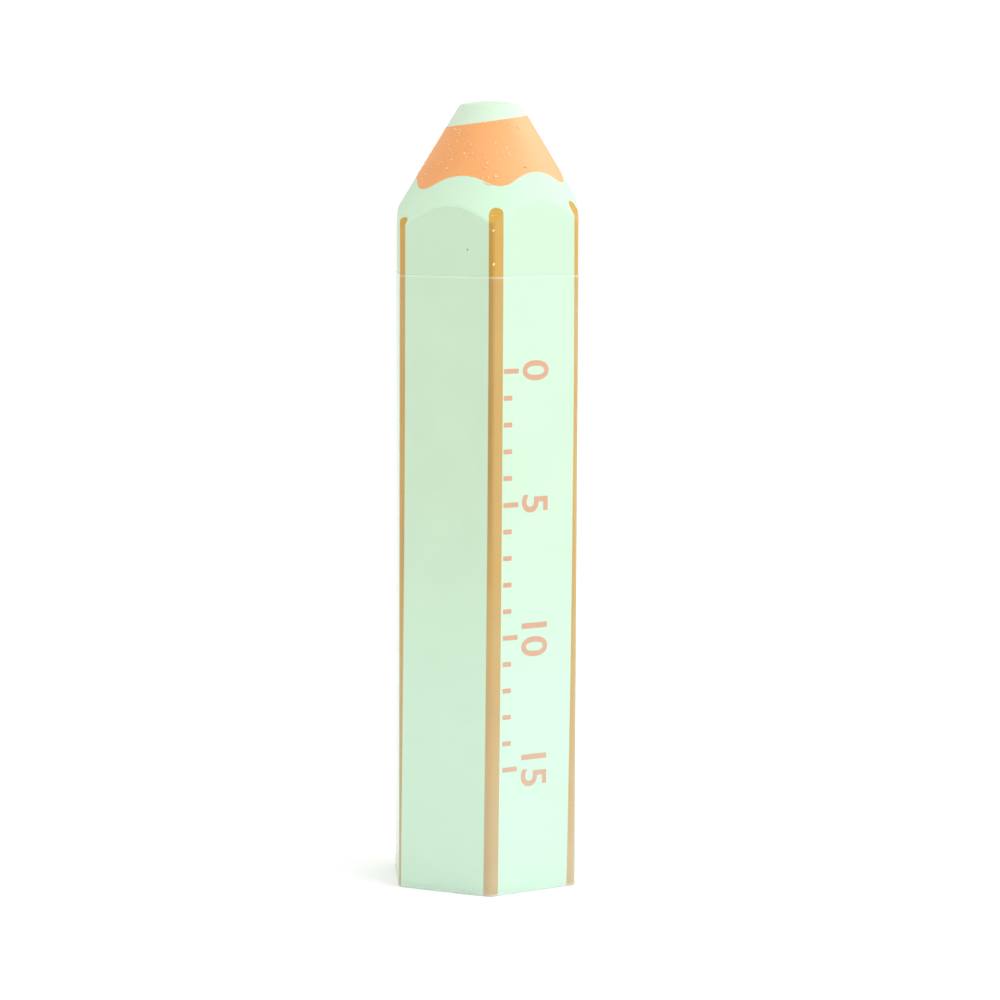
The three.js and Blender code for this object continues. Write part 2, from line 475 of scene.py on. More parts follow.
# %% [markdown]
# ## Outlines
# An outline is a list of points round a section. Each point also says how soft an edge is there: fully on the
# outside of the bar, where edges wear, and hardly inside, where the colours are bonded without a groove. The
# layer is a little skewed and off the bar's axis, because the die doesn't fill evenly.

# %% Outlines
CASING_WALL = 1.4 * MM
LAYER_APOTHEM = APOTHEM - CASING_WALL
LAYER_ROUND = 2.2 * MM
LAYER_TURN = 2  # degrees that the layer's corners sit round from the bar's edges
LAYER_SKEW = 4.5  # more degrees of turn on the front right, and as many fewer on the back left
SKEW_FACE = -60
LAYER_CENTRE = Vector((0.1 * MM, 0))
FLAT_STEPS = 24
STRIP_STEPS = 14
ROUND_STEPS = 144
ROUND_TURNS = [360 * k / ROUND_STEPS for k in range(ROUND_STEPS)]
OUTSIDE, BONDED = 1.0, 0.02  # how much of an edge's softness a point takes


def casing_outline(height):
    outline = []
    for edge in range(EDGES):
        outline += [(point, BONDED) for point in strip_seat(edge, height)]
        start = on_edge(edge, strip_sides(edge, height)[1])
        end = on_edge(edge + 1, strip_sides(edge + 1, height)[0])
        outline += [(start.lerp(end, step / FLAT_STEPS), OUTSIDE) for step in range(FLAT_STEPS + 1)]
    return outline


def strip_outline(edge, height):
    first, last = strip_sides(edge, height)
    places = [first + (last - first) * k / STRIP_STEPS for k in range(STRIP_STEPS + 1)]
    outside = [(on_edge(edge, across), OUTSIDE) for across in places]
    return outside + [(point, BONDED) for point in reversed(strip_seat(edge, height))]


def layer_radius(degrees):
    """From the layer's centre to its outside: flats, and an arc near each corner."""
    turn = LAYER_TURN + LAYER_SKEW * math.cos(math.radians(degrees - SKEW_FACE))
    from_corner = (degrees - FRONT - turn + EDGE_TURN / 2) % EDGE_TURN - EDGE_TURN / 2
    from_flat = math.radians(EDGE_TURN / 2 - abs(from_corner))
    flat_half = (LAYER_APOTHEM - LAYER_ROUND) * math.tan(HALF_TURN)
    if LAYER_APOTHEM * math.tan(from_flat) <= flat_half:
        return LAYER_APOTHEM / math.cos(from_flat)
    centre = (LAYER_APOTHEM - LAYER_ROUND) / math.cos(HALF_TURN)
    aside = centre * math.sin(math.radians(from_corner))
    along = centre * math.cos(math.radians(from_corner))
    return along + math.sqrt(LAYER_ROUND**2 - aside**2)


def layer_outline(height):
    return [(LAYER_CENTRE + polar(layer_radius(turn), turn), BONDED) for turn in ROUND_TURNS]


def core_outline(height):
    return [(polar(CORE_RADIUS, turn), BONDED) for turn in ROUND_TURNS]


outline_counts = [len(outline(0)) for outline in (casing_outline, layer_outline, core_outline)]
print("points round the casing, the layer and the core:", outline_counts)

# %% [markdown]
# ## Blanks
# A blank is a straight length of one section, before sharpening. It could be an extruded curve, but that has
# single flat faces for ends, with knife edges. A stack of rings goes across the tail, round its worn edge, up
# the side and in across the top, so that the top can be bent into a cone and each edge softened.

# %% Rings into blanks
TAIL_ROUND = 0.12 * MM
ARC_MIDDLE = 0.29  # of its radius, how far in and up the middle of the worn tail edge lies
CUT_ROUND_DOWN = 0.14 * MM  # the cone's edge is worn over this height
CUT_ROUND_IN = 0.06 * MM


def ring_mesh(name, rings, closed):
    """A mesh with faces between each ring and the next, and between the last and the first if closed."""
    count = len(rings[0])
    faces = []
    for lower in range(len(rings) if closed else len(rings) - 1):
        upper = (lower + 1) % len(rings)
        for k in range(count):
            after = (k + 1) % count
            low, high = lower * count, upper * count
            faces.append((low + k, low + after, high + after, high + k))
    if not closed:
        faces.append(tuple(reversed(range(count))))
        faces.append(tuple(range((len(rings) - 1) * count, len(rings) * count)))
    mesh = bpy.data.meshes.new(name)
    mesh.from_pydata([point for ring in rings for point in ring], [], faces)
    return mesh


def blank(name, outline, middle, rows, steps, hollow):
    """middle gives the point that each outline point heads for: across a wall, or at the centre."""

    def ring(share, inset, height, drop):
        made = []
        for point, soft in outline(height):
            inwards = middle(point, height) - point
            flat = point + inwards * max(share, soft * inset / inwards.length)
            made.append((flat.x, flat.y, LENGTH * height + soft * drop))
        return made

    last = steps if hollow else steps - 1
    rings = [ring(k / steps, TAIL_ROUND, 0, 0) for k in range(last, -1, -1)]
    rings.append(ring(0, TAIL_ROUND * ARC_MIDDLE, 0, TAIL_ROUND * ARC_MIDDLE))
    rings += [ring(0, 0, k / rows, TAIL_ROUND if k == 0 else 0) for k in range(rows)]
    rings.append(ring(0, 0, 1, -CUT_ROUND_DOWN))
    rings += [ring(k / steps, CUT_ROUND_IN, 1, 0) for k in range(last + 1)]
    return ring_mesh(name, rings, hollow)


print(f"blanks: tail edges worn {TAIL_ROUND / MM:.2f} mm round, cut edges {CUT_ROUND_DOWN / MM:.2f} mm")

# %% [markdown]
# ## The four blanks
# Across the ends, the casing's points head for the layer, the layer's for the core, the core's for the axis,
# and a strip's for its own middle. The casing and the strips have many rows along the bar, because the strips
# wander. All six strips become one mesh, as they share a finish and a body.

# %% The four blanks
LONG_ROWS = 60
STRAIGHT_ROWS = 1
CORE_STEPS = 44
LAYER_STEPS = 20
CASING_STEPS = 10
STRIP_RINGS = 5
STRIP_MIDDLE = STRIP_WIDTH / 6  # how deep under its outside the middle of a strip is taken to lie


def across_casing(point, height):
    from_centre = point - LAYER_CENTRE
    turn = math.degrees(math.atan2(from_centre.y, from_centre.x))
    return LAYER_CENTRE + polar(layer_radius(turn), turn)


def across_layer(point, height):
    return point.normalized() * CORE_RADIUS


def bar_axis(point, height):
    return Vector((0, 0))


def strip_blank(edge):
    def middle(point, height):
        return on_edge(edge, sum(strip_sides(edge, height)) / 2, STRIP_MIDDLE)

    def outline(height):
        return strip_outline(edge, height)

    return blank("strip", outline, middle, LONG_ROWS, STRIP_RINGS, False)


def joined(name, meshes):
    points, faces = [], []
    for mesh in meshes:
        first = len(points)
        points += [tuple(vertex.co) for vertex in mesh.vertices]
        faces += [tuple(first + index for index in face.vertices) for face in mesh.polygons]
    mesh = bpy.data.meshes.new(name)
    mesh.from_pydata(points, [], faces)
    return mesh


LONG_PIECES = (
    ("core_bar", core_outline, bar_axis, STRAIGHT_ROWS, CORE_STEPS, False),
    ("orange_bar", layer_outline, across_layer, STRAIGHT_ROWS, LAYER_STEPS, True),
    ("casing_bar", casing_outline, across_casing, LONG_ROWS, CASING_STEPS, True),
)
core, layer, casing = [add_to_scene(long_piece[0], blank(*long_piece)) for long_piece in LONG_PIECES]
strips = add_to_scene("edge_strips", joined("edge_strips", [strip_blank(edge) for edge in range(EDGES)]))
blanks = (core, layer, casing, strips)
print("blanks:", [(piece.name, len(piece.data.polygons)) for piece in blanks])

# %% [markdown]
# ## Sharpening
# Sharpening follows a rule: no point of the bar stands higher than a cone round the tip. That makes it work
# for Geometry Nodes. One tree takes a blank and scales each point's height so that the top of the blank lands
# on the cone. A smooth minimum of the cone and a shallow dome gives the blunt tip with its worn rim. A slow
# noise swells the bar in and out by some hundredths of a millimetre, as soft vinyl does. Faces that look up
# or down were cut and take one finish, and the sides take the other.

# %% Sharpening
SWELL_SIZE = 9 * MM
CUT_FACE = 0.25  # faces that look up or down more than this are cut ones


def new_tree(name, inputs):
    tree = bpy.data.node_groups.new(name, "GeometryNodeTree")
    tree.interface.new_socket("Geometry", in_out="INPUT", socket_type="NodeSocketGeometry")
    for title, kind in inputs.items():
        tree.interface.new_socket(title, in_out="INPUT", socket_type="NodeSocket" + kind)
    tree.interface.new_socket("Geometry", in_out="OUTPUT", socket_type="NodeSocketGeometry")
    return tree, tree.nodes.new("NodeGroupInput").outputs


def combine(tree, **parts):
    return output_of(tree, "ShaderNodeCombineXYZ", parts)


def vector_math(tree, operation, *vectors, **others):
    inputs = {**dict(enumerate(vectors)), **others}
    return add_node(tree, "ShaderNodeVectorMath", inputs, operation=operation).outputs


def with_finish(tree, geometry, material, **selection):
    finish = {"Geometry": geometry, "Material": material, **selection}
    return output_of(tree, "GeometryNodeSetMaterial", finish)


def cone_top(tree, given, x, y):
    """How high the sharpened tip is above a point of the tail."""
    aside = combine(tree, X=calculate(tree, "SUBTRACT", x, given["Offset"]), Y=y)
    radius = vector_math(tree, "LENGTH", aside)["Value"]
    shoulder = calculate(tree, "SUBTRACT", given["Length"], given["Crown"])
    past_rim = calculate(tree, "SUBTRACT", given["Tip radius"], radius)
    cone = calculate(tree, "ADD", shoulder, calculate(tree, "DIVIDE", past_rim, given["Slope"]))
    share = calculate(tree, "POWER", calculate(tree, "DIVIDE", radius, given["Tip radius"]), 2.0)
    dome = calculate(tree, "SUBTRACT", given["Length"], calculate(tree, "MULTIPLY", share, given["Crown"]))
    return calculate(tree, "SMOOTH_MIN", cone, dome, given["Rim"])


def sharpening():
    sizes = ("Length", "Tip radius", "Slope", "Offset", "Crown", "Rim", "Swell")
    inputs = {**{size: "Float" for size in sizes}, "Skin": "Material", "Cut": "Material"}
    tree, given = new_tree("sharpening", inputs)
    place = output_of(tree, "GeometryNodeInputPosition")
    x, y, z = split(tree, place)
    share = calculate(tree, "DIVIDE", cone_top(tree, given, x, y), given["Length"])
    sharpened = combine(tree, X=x, Y=y, Z=calculate(tree, "MULTIPLY", z, share))
    outwards = vector_math(tree, "NORMALIZE", combine(tree, X=x, Y=y))["Vector"]
    uneven = calculate(tree, "SUBTRACT", noise(tree, place, SWELL_SIZE, 1.0), 0.5)
    swell = calculate(tree, "MULTIPLY", uneven, given["Swell"])
    offset = vector_math(tree, "SCALE", outwards, Scale=swell)["Vector"]
    moved = {"Geometry": given["Geometry"], "Position": sharpened, "Offset": offset}
    bar = output_of(tree, "GeometryNodeSetPosition", moved)
    shaped = output_of(tree, "GeometryNodeRealizeInstances", {"Geometry": bar})

    normal = add_node(tree, "GeometryNodeInputNormal").outputs["Normal"]
    upwards = calculate(tree, "ABSOLUTE", split(tree, normal)["Z"])
    is_cut = calculate(tree, "GREATER_THAN", upwards, CUT_FACE)
    coated = with_finish(tree, shaped, given["Skin"])
    finished = with_finish(tree, coated, given["Cut"], Selection=is_cut)
    add_node(tree, "NodeGroupOutput", {"Geometry": finished})
    return tree


sharpen_tree = sharpening()
print("sharpening:", len(sharpen_tree.nodes), "nodes")

# %% [markdown]
# ## Sharpened bar
# The tree runs on each blank with the same tip sizes, so that the four pieces meet in one cone. The result is
# kept as a plain mesh, which needs no modifier any more. Shading is smooth, except where faces meet sharply.

# %% Sharpened bar
TIP_RADIUS = 2.6 * MM
TIP_CROWN = 0.3 * MM
TIP_HALF_ANGLE = 31.2
TIP_SLOPE = math.tan(math.radians(TIP_HALF_ANGLE))
TIP_OFFSET = 0.3 * MM  # the cone was cut this far off the bar's axis, towards +X
TIP_RIM = 0.35 * MM  # how far the tip's rim is worn round
SWELL = 0.03 * MM
SHARP_ANGLE = math.radians(35)


def run_tree(piece, tree, values):
    """Runs a tree on a piece and keeps the result as a plain mesh."""
    modifier = piece.modifiers.new(tree.name, "NODES")
    modifier.node_group = tree
    for socket in tree.interface.items_tree:
        if socket.in_out == "INPUT" and socket.name in values:
            modifier[socket.identifier] = values[socket.name]
    depsgraph = bpy.context.evaluated_depsgraph_get()
    mesh = bpy.data.meshes.new_from_object(piece.evaluated_get(depsgraph), depsgraph=depsgraph)
    piece.modifiers.remove(modifier)
    piece.data = mesh
    mesh.name = piece.name


def smooth(piece):
    piece.data.shade_smooth()
    piece.data.set_sharp_from_angle(angle=SHARP_ANGLE)


TIP_SIZES = {
    "Length": LENGTH, "Tip radius": TIP_RADIUS, "Slope": TIP_SLOPE, "Offset": TIP_OFFSET,
    "Crown": TIP_CROWN, "Rim": TIP_RIM, "Swell": SWELL,
}
FINISHES = ((core_cut, core_cut), (orange_cut, orange_cut), (mint_skin, mint_cut), (ochre_skin, ochre_cut))
for piece, (skin_finish, cut_finish) in zip(blanks, FINISHES):
    run_tree(piece, sharpen_tree, {**TIP_SIZES, "Skin": skin_finish, "Cut": cut_finish})
    smooth(piece)
    print(piece.name, len(piece.data.polygons), "faces")

# %% [markdown]
# ## Crumbs
# Cutting soft vinyl leaves crumbs that cling to the cone and to the bare edges above the sleeve. Each is a
# small uneven lump, half sunk in the surface. One helper sets lumps on points, in any number: it dents a
# coarse ball with noise, and gives each copy its own size and turn by random values with a fixed seed.

# %% Lumps on points
BALL = {"Radius": 1.0, "Segments": 8, "Rings": 5}
DENT_SCALE = 1.3
CRUMB_DENTS = 1.6  # how uneven a crumb is
CRUMB_STRETCH = (0.6, 1.3)  # the least and the most along each axis
SMALL_CRUMBS = 2.0  # a higher power makes more of the crumbs small
FULL_TURN = 2 * math.pi
CRUMB_INPUTS = {"Seed": "Int", "Smallest": "Float", "Largest": "Float", "Finish": "Material"}


def random_value(tree, given, kind, low, high, draw):
    value = tree.nodes.new("FunctionNodeRandomValue")
    value.data_type = kind
    sockets = [socket for socket in value.inputs if socket.enabled]
    feed(tree, low, sockets[0])
    feed(tree, high, sockets[1])
    feed(tree, calculate(tree, "ADD", given["Seed"], draw), value.inputs["Seed"])
    return next(socket for socket in value.outputs if socket.enabled)


def finish_copies(tree, given, copies):
    """Ends a tree: real copies, with a finish."""
    placed = output_of(tree, "GeometryNodeInstanceOnPoints", copies)
    real = output_of(tree, "GeometryNodeRealizeInstances", {"Geometry": placed})
    add_node(tree, "NodeGroupOutput", {"Geometry": with_finish(tree, real, given["Finish"])})


def set_crumbs(tree, given, points):
    ball = output_of(tree, "GeometryNodeMeshUVSphere", BALL)
    place = output_of(tree, "GeometryNodeInputPosition")
    bumpy = add_node(tree, "ShaderNodeTexNoise", {"Vector": place, "Scale": DENT_SCALE}).outputs["Color"]
    about = vector_math(tree, "SUBTRACT", bumpy, (0.5, 0.5, 0.5))["Vector"]
    dents = vector_math(tree, "SCALE", about, Scale=CRUMB_DENTS)["Vector"]
    lump = output_of(tree, "GeometryNodeSetPosition", {"Geometry": ball, "Offset": dents})
    share = calculate(tree, "POWER", random_value(tree, given, "FLOAT", 0.0, 1.0, 1), SMALL_CRUMBS)
    size = rescale(tree, share, 0, 1, given["Smallest"], given["Largest"])
    least, most = [(limit, limit, limit) for limit in CRUMB_STRETCH]
    uneven = random_value(tree, given, "FLOAT_VECTOR", least, most, 2)
    scale = vector_math(tree, "SCALE", uneven, Scale=size)["Vector"]
    turns = random_value(tree, given, "FLOAT_VECTOR", (0, 0, 0), (FULL_TURN, FULL_TURN, FULL_TURN), 3)
    tumbled = output_of(tree, "FunctionNodeEulerToRotation", {"Euler": turns})
    copies = {"Points": points, "Instance": lump, "Rotation": tumbled, "Scale": scale}
    finish_copies(tree, given, copies)


CRUMB_TINTS = {
    "orange_crumb": ((230, 184, 138), (240, 208, 168), (245, 228, 200)),
    "ochre_crumb": ((222, 190, 120), (238, 220, 170), (245, 235, 205)),
    "mint_crumb": ((198, 226, 204), (215, 236, 218), (230, 245, 232)),
    "grit": ((120, 100, 70), (140, 120, 90), (90, 80, 60)),
}
crumb_finishes = {name: vinyl(name, tints, SKIN) for name, tints in CRUMB_TINTS.items()}
print("crumb finishes:", ", ".join(crumb_finishes))

# %% [markdown]
# ## Scattered crumbs
# Most crumbs lie anywhere. They are scattered over copies of the finished pieces, on the faces that look out
# of the bar above a given height, so that they lie on the surface wherever they fall. A noise gathers them in
# patches, and more of them stay on the -X side, where the cutter left the vinyl.

# %% Scattered crumbs
CRUMB_PATCH = 2.2 * MM
PATCH_BORDER = (0.42, 0.62)  # of the noise: no crumbs below, and all of them above
CLEAN_SIDE = 0.08  # the share of crumbs that the +X side keeps
SIDE_BORDER = (-0.1 * SIDE, 0.3 * SIDE)  # along X, from the side with crumbs to the clean one
SMALLEST_CRUMB = 0.03 * MM
LARGEST_CRUMB = 0.09 * MM
BARE = SLEEVE_TOP + MM
CONE_LOW = SLEEVE_TOP + 4 * MM


def crumb_scatter():
    tree, given = new_tree("crumb_scatter", {"Density": "Float", "Lowest": "Float", **CRUMB_INPUTS})
    place = output_of(tree, "GeometryNodeInputPosition")
    x, y, z = split(tree, place)
    normal = add_node(tree, "GeometryNodeInputNormal").outputs["Normal"]
    outwards = vector_math(tree, "DOT_PRODUCT", normal, combine(tree, X=x, Y=y))["Value"]
    is_outside = calculate(tree, "GREATER_THAN", outwards, 0.0)
    is_high = calculate(tree, "GREATER_THAN", z, given["Lowest"])
    chosen = {"Geometry": given["Geometry"], "Selection": calculate(tree, "MULTIPLY", is_outside, is_high)}
    bare = add_node(tree, "GeometryNodeSeparateGeometry", chosen, domain="FACE").outputs["Selection"]
    patchy = rescale(tree, noise(tree, place, CRUMB_PATCH), *PATCH_BORDER, 0, 1)
    one_sided = rescale(tree, x, *SIDE_BORDER, 1, CLEAN_SIDE)
    density = calculate(tree, "MULTIPLY", given["Density"], calculate(tree, "MULTIPLY", patchy, one_sided))
    spread = {"Mesh": bare, "Density": density, "Seed": given["Seed"]}
    points = add_node(tree, "GeometryNodeDistributePointsOnFaces", spread).outputs["Points"]
    set_crumbs(tree, given, points)
    return tree


def crumb_piece(name, mesh, tree, values):
    piece = add_to_scene(name, mesh)
    run_tree(piece, tree, values)
    piece.data.shade_smooth()
    print(name, len(piece.data.polygons), "faces")
    return piece


crumb_tree = crumb_scatter()
CRUMB_PLACES = (  # name, piece, most crumbs on a square metre, lowest height, seed and finish
    ("orange_crumbs", layer, 7e6, CONE_LOW, 4, "orange_crumb"),
    ("mint_crumbs", casing, 1.5e5, BARE, 6, "mint_crumb"),
    ("ochre_crumbs", strips, 4e5, BARE, 2, "ochre_crumb"),
    ("strip_end_crumbs", strips, 2.5e7, CONE_LOW + MM, 5, "ochre_crumb"),
)
crumbs = {}
for name, host, density, lowest, seed, finish in CRUMB_PLACES:
    values = {"Density": density, "Lowest": lowest, "Seed": seed, "Finish": crumb_finishes[finish]}
    sizes = {"Smallest": SMALLEST_CRUMB, "Largest": LARGEST_CRUMB}
    crumbs[name] = crumb_piece(name, host.data.copy(), crumb_tree, {**values, **sizes})

# %% [markdown]
# ## Crumbs in their places
# A few larger crumbs and two specks of grit show clearly, so each gets its own place: how far to the right of
# the front edge it lies, and how high. The flat or the cone there gives the depth. A mesh of bare points goes
# through the same helper.

# %% Crumbs in their places
SPOT_SEED = 1
CRUMB_SPOTS = (  # name, finish, smallest and largest size, and places, in millimetres
    ("strip_spots", "ochre_crumb", 0.14, 0.18, ((0.05, 56.25), (0.06, 53.43))),
    ("orange_spots", "orange_crumb", 0.09, 0.13, (
        (-0.74, 60.59), (-0.24, 60.59), (0.35, 60.68), (-0.33, 65.17), (2.48, 64.76),
        (-0.54, 60.15), (-0.34, 60.1), (-0.13, 60.02))),
    ("grit_spots", "grit", 0.07, 0.09, ((2.85, 61.43), (-2.05, 54.63))),
)


def front_point(across, height):
    """A place on the front of the bar, on a flat or on the cone, by how far right of the front edge it is."""
    cone_radius = TIP_RADIUS + (LENGTH - TIP_CROWN - height) * TIP_SLOPE
    on_cone = -math.sqrt(max(cone_radius**2 - (across - TIP_OFFSET) ** 2, 0))
    return across, max(on_edge(0, across).y, on_cone), height


def crumb_spots():
    tree, given = new_tree("crumb_spots", CRUMB_INPUTS)
    set_crumbs(tree, given, given["Geometry"])
    return tree


spot_tree = crumb_spots()
for name, finish, smallest, largest, places in CRUMB_SPOTS:
    points = bpy.data.meshes.new(name)
    points.from_pydata([front_point(across * MM, height * MM) for across, height in places], [], [])
    sizes = {"Smallest": smallest * MM, "Largest": largest * MM}
    values = {"Seed": SPOT_SEED, "Finish": crumb_finishes[finish], **sizes}
    crumbs[name] = crumb_piece(name, points, spot_tree, values)

# %% [markdown]
# ## Clear film
# The sleeve is thin clear film. A glass shader would bend and darken the view, which film this thin doesn't,
# so the finish is mostly Transparent, with a mirror that grows towards grazing angles and a breath of white
# haze. Near the tail the haze is stronger, as painted light that pales the lower part against the floor's
# shade.
# The cut edge scatters light and shows as a pale line. Off the bar, an empty sleeve shows by its sides: a wall
# that is seen aslant from inside lets less light through.

# %% Clear film
HAZE_SIZE = 5 * MM
HAZE_RIPPLE = 0.1 * MM
RIPPLE_STRENGTH = 0.3
PAINTED_TAIL_HAZE = 0.09  # more white haze near the tail: painted light that makes the lower part paler against the floor's shade
PAINTED_TAIL_HAZE_HEIGHT = 28 * MM
FACE_ON_MIRROR = 0.002
GRAZING_MIRROR = 0.35
GRAZING_POWER = 8.0
CLEAR = (*WHITE, 1.0)
ASLANT = 0.62  # the facing value from which an inner wall lets less light through
EDGE_ON_TINT = (0.28, 0.33, 0.3, 1)
MOST_NOISE = (0.3, 0.7)  # nearly all values of a noise lie between these


def facing_away(tree):
    """0 where a face looks straight at whoever sees it, and 1 where it is seen edge on."""
    return add_node(tree, "ShaderNodeLayerWeight", {"Blend": 0.5}).outputs["Facing"]


def mirror_share(tree):
    """How much a clear surface mirrors: hardly anything face on, and about a third at a grazing angle."""
    grazing = calculate(tree, "POWER", facing_away(tree), GRAZING_POWER)
    return calculate(tree, "MULTIPLY_ADD", grazing, GRAZING_MIRROR, FACE_ON_MIRROR)


def inner_tint(tree):
    """What an inner wall lets through. Nearly edge on, light has a long way through the film."""
    from_behind = add_node(tree, "ShaderNodeNewGeometry").outputs["Backfacing"]
    from_inside = calculate(tree, "SUBTRACT", 1.0, from_behind)
    aslant = calculate(tree, "SQRT", rescale(tree, facing_away(tree), ASLANT, 1, 0, 1))
    return mix_colours(tree, calculate(tree, "MULTIPLY", aslant, from_inside), CLEAR, EDGE_ON_TINT)


def clear_film(name, haze_low, haze_high, haze_tint, gloss_roughness, inner=False):
    material, tree = new_finish(name)
    place = object_place(tree)
    clouds = noise(tree, place, HAZE_SIZE, 3.0)
    ripple = {"Height": clouds, "Strength": RIPPLE_STRENGTH, "Distance": HAZE_RIPPLE}
    normal = add_node(tree, "ShaderNodeBump", ripple).outputs["Normal"]
    passed = inner_tint(tree) if inner else CLEAR
    clear = output_of(tree, "ShaderNodeBsdfTransparent", {"Color": passed})
    mirror = {"Color": CLEAR, "Roughness": gloss_roughness, "Normal": normal}
    gloss = output_of(tree, "ShaderNodeBsdfGlossy", mirror)
    white = output_of(tree, "ShaderNodeBsdfDiffuse", {"Color": colour(*haze_tint)})
    bare = output_of(tree, "ShaderNodeMixShader", {0: mirror_share(tree), 1: clear, 2: gloss})
    even_haze = rescale(tree, clouds, *MOST_NOISE, haze_low, haze_high)
    # painted light: more white haze towards the tail
    painted_tail_haze = rescale(tree, split(tree, place)["Z"], 0, PAINTED_TAIL_HAZE_HEIGHT, PAINTED_TAIL_HAZE, 0)
    haze = calculate(tree, "ADD", even_haze, painted_tail_haze)
    show(tree, output_of(tree, "ShaderNodeMixShader", {0: haze, 1: bare, 2: white}))
    return material


FILM_HAZE = (0.014, 0.03, (240, 250, 243), 0.08)
film_finish = clear_film("clear_film", *FILM_HAZE)
film_inner_finish = clear_film("clear_film_inside", *FILM_HAZE, inner=True)
film_edge_finish = clear_film("film_cut_edge", 0.18, 0.28, (250, 252, 246), 0.3)
film_finishes = (film_finish, film_edge_finish, film_inner_finish)
print("film:", ", ".join(finish.name for finish in film_finishes))

# %% [markdown]
# ## Film sleeve
# The film is wrapped once round the bar and sealed to itself along a back flat. It touches the edges, bows
# out a little over each flat and ripples slightly along its length. Cloth could be wrapped round the bar, but
# film this tight follows a formula, which the print will use too. Where the film's end overlaps its start,
# the outer wall steps up.

# %% Shape of the film
FILM = 0.04 * MM
PLAY = 0.02 * MM
LAP_WIDTH = 3 * MM
LAP_FACE = 120  # degrees from +X to the normal of the flat with the lap
LAP_EDGE = 0.03 * MM
LAP_RISE = 0.5 * MM
BOW = 0.015 * MM
RIPPLE = 0.003 * MM
RIPPLE_LENGTH = 7 * MM
FACE_STEPS = 18
CORNER_STEPS = 8
INSIDE = APOTHEM + PLAY
INSIDE_ROUND = EDGE_ROUND + PLAY
FACE_HALF = (INSIDE - INSIDE_ROUND) * math.tan(HALF_TURN)  # half of the flat stretch of a face


def bow(face, across, height):
    """How far the film stands out from its tightest shape, this far across a face."""
    middle = math.cos(math.pi * across / (2 * FACE_HALF)) ** 2
    slow = 0.6 + 0.4 * math.sin(height / RIPPLE_LENGTH + math.radians(face * 2))
    quick = math.sin(3 * height / RIPPLE_LENGTH + 4 * across / RIPPLE_LENGTH + face)
    return middle * (BOW * slow + RIPPLE * (1 + quick))


def lap_lift(face, across):
    """The film's end lies over its start: a crisp step on one side, and an easy rise on the other."""
    if face != LAP_FACE or abs(across) > LAP_WIDTH / 2 + LAP_RISE:
        return 0.0
    falling = (LAP_WIDTH / 2 + LAP_EDGE - across) / LAP_EDGE
    rising = (across + LAP_WIDTH / 2 + LAP_RISE) / LAP_RISE
    return FILM * min(max(min(falling, rising), 0.0), 1.0)


def film_columns():
    """For each column of points round the film: its inside, the way out, its face and how far across."""
    columns = []
    for k in range(EDGES):
        corner = edge_turn(k)
        face = round(corner + EDGE_TURN / 2)
        centre = polar((INSIDE - INSIDE_ROUND) / math.cos(HALF_TURN), corner)
        for step in range(CORNER_STEPS):
            turn = corner + EDGE_TURN * (step / CORNER_STEPS - 0.5)
            columns.append((centre + polar(INSIDE_ROUND, turn), polar(1, turn), face, FACE_HALF))
        places = [FACE_HALF * (2 * step / FACE_STEPS - 1) for step in range(FACE_STEPS)]
        if face == LAP_FACE:
            places += [LAP_WIDTH / 2, LAP_WIDTH / 2 + LAP_EDGE, -LAP_WIDTH / 2, -LAP_WIDTH / 2 - LAP_RISE]
        for across in sorted(places):
            columns.append((polar(INSIDE, face) + polar(across, face + 90), polar(1, face), face, across))
    return columns


columns = film_columns()
print("film:", len(columns), "columns of points round the bar")

# %% [markdown]
# ## Walls of the sleeve
# The sleeve is a tube of two walls, because a single sheet of faces has no thickness to show at its ends. The
# same rings as for the blanks make it, up the outside and down the inside. Both ends have a thin bead where
# the film was cut hot. The bead and the edge of the lap take the pale finish of a cut edge.

# %% Walls of the sleeve
FILM_ROWS = 56
BEAD = ((0.17, 0.0), (0.12, 0.01), (0.05, 0.012), (0.0, -0.008))  # in from the end and outwards, in mm
END_FLARE = 0.01 * MM  # the inner wall opens by this much at both ends


def film_ring(height, offset, lapped):
    ring = []
    for inside, normal, face, across in columns:
        out = bow(face, across, height) + offset + (lap_lift(face, across) if lapped else 0.0)
        point = inside + normal * out
        ring.append((point.x, point.y, height))
    return ring


rows = [SLEEVE_TOP * k / FILM_ROWS for k in range(1, FILM_ROWS)]
film_rings = [film_ring(drop * MM, FILM + out * MM, True) for drop, out in reversed(BEAD)]
film_rings += [film_ring(height, FILM, True) for height in rows]
film_rings += [film_ring(SLEEVE_TOP - drop * MM, FILM + out * MM, True) for drop, out in BEAD]
outer_rings = len(film_rings)
film_rings += [film_ring(SLEEVE_TOP, END_FLARE, False)]
film_rings += [film_ring(height, 0, False) for height in reversed(rows)]
film_rings += [film_ring(0, END_FLARE, False)]
sleeve = add_to_scene("film_sleeve_skin", ring_mesh("film_sleeve_skin", film_rings, True))
for finish in film_finishes:
    sleeve.data.materials.append(finish)
bead_bands = {*range(len(BEAD) - 1), *range(outer_rings - len(BEAD), outer_rings), len(film_rings) - 1}
lap_edges = {
    k for k, (inside, normal, face, across) in enumerate(columns)
    if face == LAP_FACE and abs(across - LAP_WIDTH / 2) < LAP_EDGE / 2
}
for number, polygon in enumerate(sleeve.data.polygons):
    band, column = divmod(number, len(columns))
    on_lap_edge = column in lap_edges and band < outer_rings - 1
    if band in bead_bands or on_lap_edge:
        polygon.material_index = film_finishes.index(film_edge_finish)
    elif band >= outer_rings:
        polygon.material_index = film_finishes.index(film_inner_finish)
smooth(sleeve)
print("film sleeve:", len(sleeve.data.polygons), "faces")

# %% [markdown]
# ## Ink
# The film is printed in one salmon colour. Printing ink is opaque and lies a little uneven, so a fine noise
# varies its tint and its gloss. One plain colour would look like a sticker.

# %% Ink
INK_GRAIN = 0.15 * MM
INK_GLOSS = (0.3, 0.42)  # the least and the most roughness


